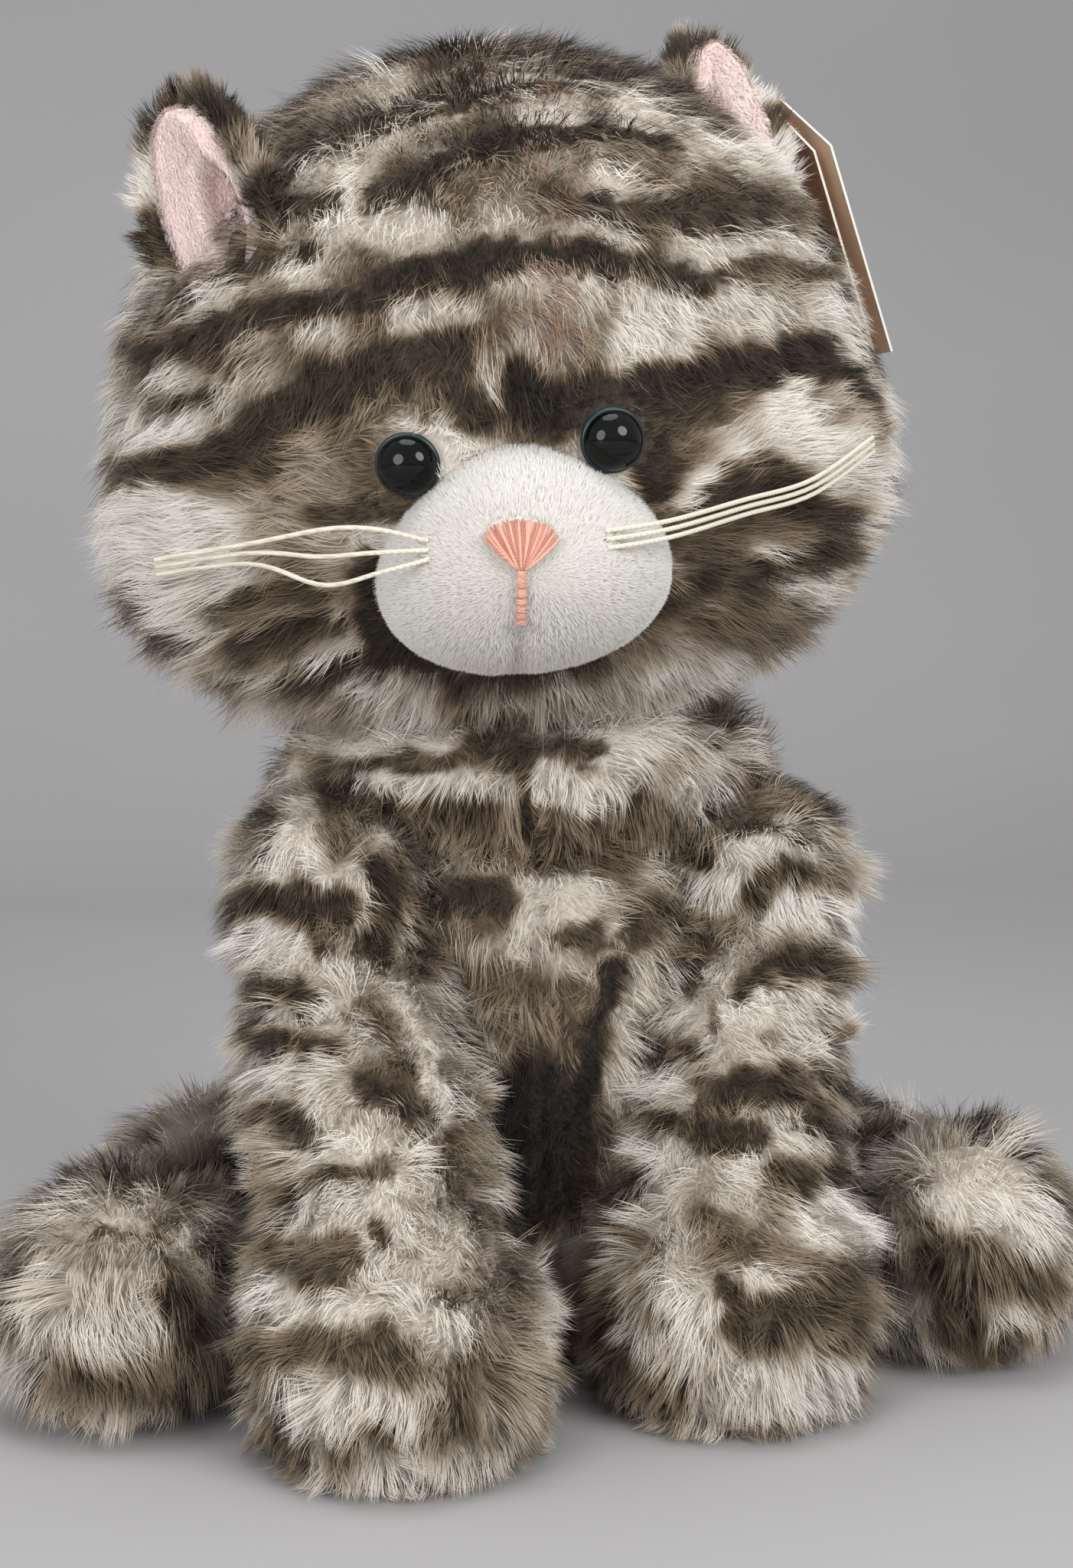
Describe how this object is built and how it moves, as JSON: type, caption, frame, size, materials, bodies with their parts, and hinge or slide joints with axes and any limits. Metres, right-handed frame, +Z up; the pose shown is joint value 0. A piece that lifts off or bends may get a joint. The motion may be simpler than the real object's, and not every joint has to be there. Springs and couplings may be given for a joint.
{
  "type": "plush cat",
  "caption": "Seated plush tabby cat with a large leaning head, shaggy grey-brown striped pile, white muzzle, glossy eyes, cord whiskers, lined ears and a blank hang tag.",
  "frame": {"origin": "middle of the flat seat, on the surface the cat sits on, below the neck", "axes": "+Z up, -Y the way the cat's chest faces, +X to the right of whoever faces it"},
  "size_m": [0.2275, 0.254, 0.284],
  "materials": {
    "tabby_pile": "matte",
    "white_plush": "matte",
    "pink_plush": "matte",
    "fibre_fill": "matte",
    "plain_cloth": "matte",
    "sewing_thread": "satin",
    "salmon_thread": "satin",
    "waxed_cord": "satin",
    "eye_plastic": "gloss",
    "washer_plastic": "satin",
    "pellet_plastic": "satin",
    "clear_plastic": "gloss",
    "kraft_card": "matte",
    "cream_card": "matte"
  },
  "bodies": {
    "body": {"body_cover": "tabby_pile", "body_stuffing": "fibre_fill", "pellet_pouch": "plain_cloth", "pellets": "pellet_plastic", "back_stitches": "sewing_thread"},
    "neck": {"neck_stuffing": "fibre_fill", "neck_thread": "sewing_thread"},
    "head": {"head_cover": "tabby_pile", "head_stuffing": "fibre_fill", "muzzle_cover": "white_plush", "muzzle_stuffing": "fibre_fill", "left_eye": "eye_plastic", "right_eye": "eye_plastic", "left_eye_washer": "washer_plastic", "right_eye_washer": "washer_plastic", "nose_embroidery": "salmon_thread", "mouth_stitches": "salmon_thread", "left_whisker_upper": "waxed_cord", "left_whisker_middle": "waxed_cord", "left_whisker_lower": "waxed_cord", "right_whisker_upper": "waxed_cord", "right_whisker_middle": "waxed_cord", "right_whisker_lower": "waxed_cord", "tag_fastener": "clear_plastic"},
    "left_ear": {"left_ear": "tabby_pile", "left_ear_lining": "pink_plush"},
    "right_ear": {"right_ear": "tabby_pile", "right_ear_lining": "pink_plush"},
    "tag": {"tag_cover_leaf": "kraft_card"},
    "tag_leaf": {"tag_back_leaf": "cream_card"},
    "left_front_leg": {"left_front_leg": "tabby_pile", "left_front_leg_stuffing": "fibre_fill"},
    "right_front_leg": {"right_front_leg": "tabby_pile", "right_front_leg_stuffing": "fibre_fill"},
    "left_hind_leg": {"left_hind_leg": "tabby_pile", "left_hind_leg_stuffing": "fibre_fill"},
    "right_hind_leg": {"right_hind_leg": "tabby_pile", "right_hind_leg_stuffing": "fibre_fill"},
    "tail": {"tail": "tabby_pile", "tail_stuffing": "fibre_fill"}
  },
  "joints": [
    {"name": "head_turn", "type": "hinge", "parent": "body", "child": "neck", "pos_m": [0, 0, 0.138], "axis": [0, 0, 1], "range_deg": [-25, 25], "stiffness_Nm_per_rad": 1},
    {"name": "head_nod", "type": "hinge", "parent": "neck", "child": "head", "pos_m": [0, 0, 0.138], "axis": [1, 0, 0], "range_deg": [-8, 10], "stiffness_Nm_per_rad": 2},
    {"name": "left_ear_fold", "type": "hinge", "parent": "head", "child": "left_ear", "pos_m": [-0.06915, -0.03383, 0.24066], "axis": [0.7037, -0.676, 0.2189], "range_deg": [-15, 20], "stiffness_Nm_per_rad": 0.03},
    {"name": "right_ear_fold", "type": "hinge", "parent": "head", "child": "right_ear", "pos_m": [0.04015, -0.00933, 0.2624], "axis": [0.8775, 0.4795, 0.0036], "range_deg": [-15, 20], "stiffness_Nm_per_rad": 0.03},
    {"name": "tag_swing", "type": "hinge", "parent": "head", "child": "tag", "pos_m": [0.0591, 0.01653, 0.26294], "axis": [0.9254, 0.1632, 0.342], "range_deg": [-6, 6]},
    {"name": "tag_open", "type": "hinge", "parent": "tag", "child": "tag_leaf", "pos_m": [0.05601, 0.0373, 0.26315], "axis": [-0.3368, -0.0594, 0.9397], "range_deg": [-3, 50], "stiffness_Nm_per_rad": 0.005},
    {"name": "left_front_leg_swing", "type": "hinge", "parent": "body", "child": "left_front_leg", "pos_m": [-0.04509, -0.02217, 0.104], "axis": [-1, 0, 0], "range_deg": [0, 45], "stiffness_Nm_per_rad": 0.1},
    {"name": "right_front_leg_swing", "type": "hinge", "parent": "body", "child": "right_front_leg", "pos_m": [0.04509, -0.02217, 0.104], "axis": [-1, 0, 0], "range_deg": [0, 45], "stiffness_Nm_per_rad": 0.1},
    {"name": "left_hind_leg_splay", "type": "hinge", "parent": "body", "child": "left_hind_leg", "pos_m": [-0.06822, 0.02333, 0.027], "axis": [0, 0, -1], "range_deg": [-1.5, 24], "stiffness_Nm_per_rad": 0.2},
    {"name": "right_hind_leg_splay", "type": "hinge", "parent": "body", "child": "right_hind_leg", "pos_m": [0.06822, 0.02333, 0.027], "axis": [0, 0, 1], "range_deg": [-1.5, 24], "stiffness_Nm_per_rad": 0.2},
    {"name": "tail_sweep", "type": "hinge", "parent": "body", "child": "tail", "pos_m": [0, 0.06802, 0.022], "axis": [0, 0, 1], "range_deg": [-25, 25], "stiffness_Nm_per_rad": 0.1}
  ]
}
